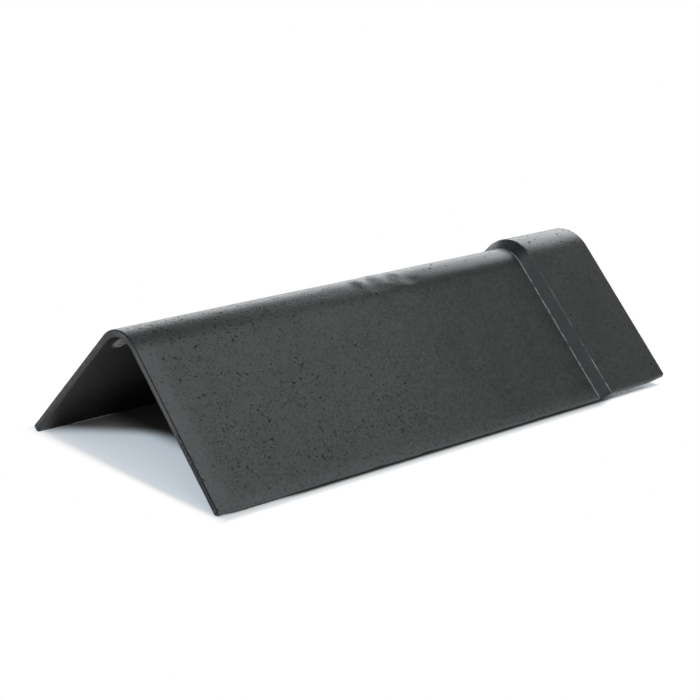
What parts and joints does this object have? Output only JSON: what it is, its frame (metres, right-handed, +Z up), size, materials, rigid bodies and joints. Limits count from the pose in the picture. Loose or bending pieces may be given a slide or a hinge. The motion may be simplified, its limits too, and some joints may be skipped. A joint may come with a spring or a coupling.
{
  "type": "ridge cap",
  "caption": "Angle ridge tile in dark fibre cement: flat wings at right angles, a rounded apex, and an end stepped outwards to cap the plain end of the next tile.",
  "frame": {"origin": "under the middle of the tile's length, between the wings' feet, on the level they stand on", "axes": "+X along the ridge from the plain end to the cap, +Z up"},
  "size_m": [0.6, 0.3, 0.1431],
  "materials": {
    "fibre_cement": "dark grey moulded fibre cement, matt to satin, with small pits"
  },
  "bodies": {
    "root": {"ridge_cap": "fibre_cement"}
  },
  "joints": []
}
